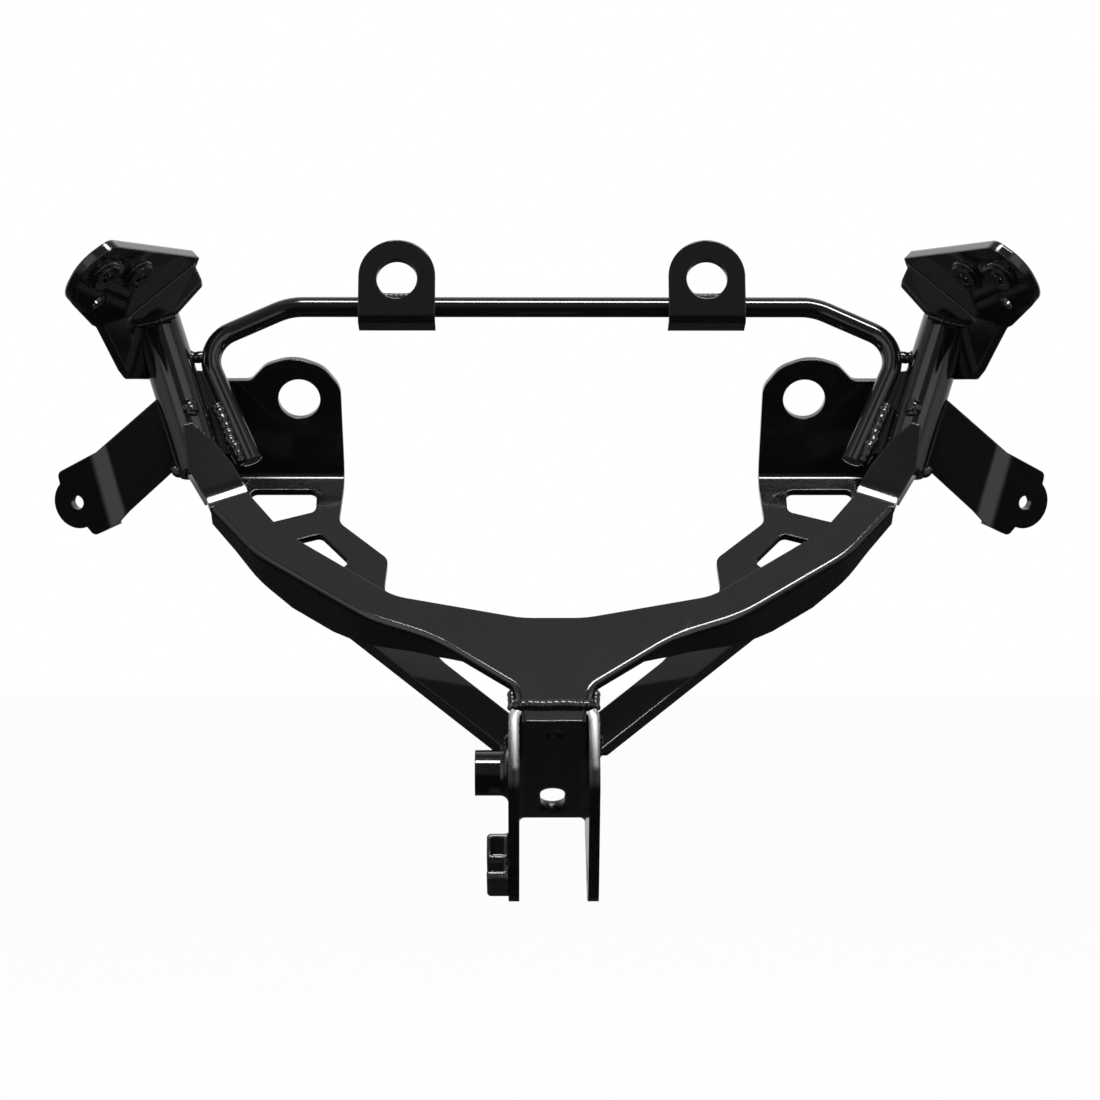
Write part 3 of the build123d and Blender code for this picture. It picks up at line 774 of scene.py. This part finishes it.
@dataclass(frozen=True)
class StudioCamera:
    """Level camera on the rider's side, for a square frame.

    Attributes:
        place: its place in metres.
        yaw: degrees by which it turns to its right.
        focal_pixels: focal length in pixels of the frame.
        frame_pixels: the frame's width in pixels.
        sensor: the sensor's width in millimetres.
        far: its far clipping distance in metres.
    """

    place: Point = (-0.0109, -1.155, 0.083)
    yaw: float = 0.475
    focal_pixels: float = 3100.0
    frame_pixels: float = 1100.0
    sensor: float = 36.0
    far: float = 30.0

    def build(self) -> None:
        """Adds the camera and makes it the scene's."""
        lens = bpy.data.cameras.new("camera")
        lens.sensor_width = self.sensor
        lens.lens = self.focal_pixels / self.frame_pixels * self.sensor
        lens.clip_end = self.far
        camera = bpy.data.objects.new("camera", lens)
        camera.location = self.place
        camera.rotation_euler = (radians(90), 0, radians(-self.yaw))
        bpy.context.scene.collection.objects.link(camera)
        bpy.context.scene.camera = camera


@dataclass(frozen=True)
class StripLamp:
    """Long soft lamp, high in front of the stay, that gives the bar and the bends their glints.

    Attributes:
        place: its middle in metres.
        target: the point that it faces.
        size: its width and depth in metres.
        radiance: how bright its face is.
    """

    place: Point = (0.395, -1.437, 2.70)
    target: Point = (0.395, 0.06, 0.1)
    size: tuple[float, float] = (1.51, 0.60)
    radiance: float = 24.0

    def build(self) -> None:
        """Adds the lamp, with its power worked out from its area and radiance."""
        lamp = bpy.data.lights.new("strip", "AREA")
        lamp.shape = "RECTANGLE"
        lamp.size, lamp.size_y = self.size
        lamp.energy = self.radiance * pi * self.size[0] * self.size[1]
        light = bpy.data.objects.new("strip", lamp)
        light.location = self.place
        away = np.array(self.place) - np.array(self.target)
        away /= np.linalg.norm(away)
        across = np.cross([0, 0, 1.0], away)
        across /= np.linalg.norm(across)
        turned = Matrix(np.stack([across, np.cross(away, across), away], axis=1).tolist())
        light.rotation_euler = turned.to_euler()
        light.visible_camera = False
        bpy.context.scene.collection.objects.link(light)


@dataclass(frozen=True)
class StudioFloor:
    """Pale floor below the stay, which hangs on its bolt.

    Attributes:
        z: its height in metres.
        size: its side in metres.
        grey: linear grey of its matte paint.
        white: share of plain white that the camera sees; the rest keeps the stay's shadow.
    """

    z: float = -0.30
    size: float = 14.0
    grey: float = 0.9
    white: float = 0.95

    def material(self) -> bpy.types.Material:
        """Builds the matte paint, which is nearly white to the camera.

        Returns:
            The new material.
        """
        material = bpy.data.materials.new("pale_floor")
        material.use_nodes = True
        nodes, links = material.node_tree.nodes, material.node_tree.links
        nodes.clear()
        output = nodes.new("ShaderNodeOutputMaterial")
        matte = nodes.new("ShaderNodeBsdfDiffuse")
        matte.inputs["Color"].default_value = (self.grey, self.grey, self.grey, 1)
        glow = nodes.new("ShaderNodeEmission")
        glow.inputs["Color"].default_value = (1, 1, 1, 1)
        path = nodes.new("ShaderNodeLightPath")
        share = nodes.new("ShaderNodeMath")
        share.operation = "MULTIPLY"
        share.inputs[1].default_value = self.white
        mix = nodes.new("ShaderNodeMixShader")
        links.new(path.outputs["Is Camera Ray"], share.inputs[0])
        links.new(share.outputs["Value"], mix.inputs["Fac"])
        links.new(matte.outputs["BSDF"], mix.inputs[1])
        links.new(glow.outputs["Emission"], mix.inputs[2])
        links.new(mix.outputs["Shader"], output.inputs["Surface"])
        return material

    def build(self) -> None:
        """Adds the floor, which the paint doesn't reflect."""
        half = self.size / 2
        corners = np.array([[x * half, y * half, self.z]
                            for x, y in ((-1, -1), (1, -1), (1, 1), (-1, 1))])
        floor = make_piece("floor", corners, [[0, 1, 2, 3]])
        floor.data.materials.append(self.material())
        floor.visible_glossy = False


@dataclass(frozen=True)
class Fade:
    """Smooth step of one component of a direction.

    Attributes:
        axis: the component, X, Y or Z.
        start: its value at which the step begins.
        end: its value at which the step is over.
        low: result at the start.
        high: result at the end.
    """

    axis: str
    start: float
    end: float
    low: float = 0.0
    high: float = 1.0


@dataclass
class Surroundings:
    """World that is white to the camera and a dim studio to the paint.

    The studio's strength in a direction is upper * (behind + top + both sides), plus ahead * (left
    panel + right panel). Each term is a fade, or a product of fades, of the direction's X, Y or Z.

    Attributes:
        behind: the bright wall behind the stay.
        upper: dims what lies below.
        top: the ceiling.
        sides: the walls to the left and right.
        ahead: keeps the panels in front, between two heights.
        left_panel: the panel in front to the left.
        right_panel: the panel in front to the right.
    """

    behind: Fade = Fade("Y", 0.15, 0.75, 0.0, 0.95)
    upper: Fade = Fade("Z", -0.25, 0.1, 0.03, 1.0)
    top: Fade = Fade("Z", 0.75, 1.0, 0.10, 0.32)
    sides: tuple[Fade, ...] = (Fade("X", -0.55, -0.95, 0.0, 0.3), Fade("X", 0.55, 0.95, 0.0, 0.35))
    ahead: tuple[Fade, ...] = (Fade("Y", -0.3, -0.45), Fade("Z", 0.8, 0.65), Fade("Z", -0.5, -0.3))
    left_panel: tuple[Fade, ...] = (Fade("X", -0.16, -0.28, 0.0, 0.6), Fade("X", -0.74, -0.6))
    right_panel: tuple[Fade, ...] = (Fade("X", 0.16, 0.28, 0.0, 0.6), Fade("X", 0.74, 0.6))
    world: bpy.types.World = field(default_factory=lambda: bpy.data.worlds.new("studio"))

    def fade(self, fade: Fade) -> bpy.types.NodeSocket:
        """Adds the node of one fade.

        Args:
            fade: which component of the direction it follows, and between which values.

        Returns:
            The socket of its result.
        """
        nodes, links = self.world.node_tree.nodes, self.world.node_tree.links
        node = nodes.new("ShaderNodeMapRange")
        node.interpolation_type = "SMOOTHSTEP"
        values = (fade.start, fade.end, fade.low, fade.high)
        for socket, value in zip(("From Min", "From Max", "To Min", "To Max"), values):
            node.inputs[socket].default_value = value
        links.new(nodes["direction"].outputs[fade.axis], node.inputs["Value"])
        return node.outputs["Result"]

    def combine(self, operation: str, *terms: bpy.types.NodeSocket) -> bpy.types.NodeSocket:
        """Combines two or more sockets by one math operation, from left to right.

        Args:
            operation: the operation's name in the math node.
            terms: the sockets.

        Returns:
            The socket of the result.
        """
        nodes, links = self.world.node_tree.nodes, self.world.node_tree.links

        def pair(one: bpy.types.NodeSocket, two: bpy.types.NodeSocket) -> bpy.types.NodeSocket:
            """Combines two sockets.

            Args:
                one: the first term.
                two: the second term.

            Returns:
                The socket of the result.
            """
            node = nodes.new("ShaderNodeMath")
            node.operation = operation
            links.new(one, node.inputs[0])
            links.new(two, node.inputs[1])
            return node.outputs["Value"]

        return reduce(pair, terms)

    def studio_strength(self) -> bpy.types.NodeSocket:
        """Adds the nodes that work out the studio's strength in a direction.

        Returns:
            The socket of the strength.
        """
        walls = self.combine("ADD", self.fade(self.behind), self.fade(self.top),
                             *map(self.fade, self.sides))
        panels = self.combine("ADD", self.combine("MULTIPLY", *map(self.fade, self.left_panel)),
                              self.combine("MULTIPLY", *map(self.fade, self.right_panel)))
        ahead = self.combine("MULTIPLY", *map(self.fade, self.ahead))
        return self.combine("ADD", self.combine("MULTIPLY", self.fade(self.upper), walls),
                            self.combine("MULTIPLY", ahead, panels))

    def build(self) -> None:
        """Makes the world the scene's and fills in its nodes."""
        bpy.context.scene.world = self.world
        self.world.use_nodes = True
        nodes, links = self.world.node_tree.nodes, self.world.node_tree.links
        nodes.clear()
        output = nodes.new("ShaderNodeOutputWorld")
        white = nodes.new("ShaderNodeBackground")
        studio = nodes.new("ShaderNodeBackground")
        for background in (white, studio):
            background.inputs["Color"].default_value = (1, 1, 1, 1)
        mix = nodes.new("ShaderNodeMixShader")
        path = nodes.new("ShaderNodeLightPath")
        place = nodes.new("ShaderNodeTexCoord")
        direction = nodes.new("ShaderNodeSeparateXYZ")
        direction.name = "direction"
        links.new(place.outputs["Generated"], direction.inputs["Vector"])
        links.new(self.studio_strength(), studio.inputs["Strength"])
        seen = self.combine("MAXIMUM", path.outputs["Is Camera Ray"],
                            path.outputs["Is Transmission Ray"])
        links.new(seen, mix.inputs["Fac"])
        links.new(studio.outputs["Background"], mix.inputs[1])
        links.new(white.outputs["Background"], mix.inputs[2])
        links.new(mix.outputs["Shader"], output.inputs["Surface"])


def main() -> None:
    """Builds the studio and the stay."""
    logging.basicConfig(level=logging.INFO, format="%(name)s: %(message)s")
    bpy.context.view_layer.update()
    bpy.context.scene.view_settings.view_transform = "Standard"
    StudioCamera().build()
    StudioFloor().build()
    Surroundings().build()
    StripLamp().build()
    FairingStay().build()


if __name__ == "__main__":
    main()
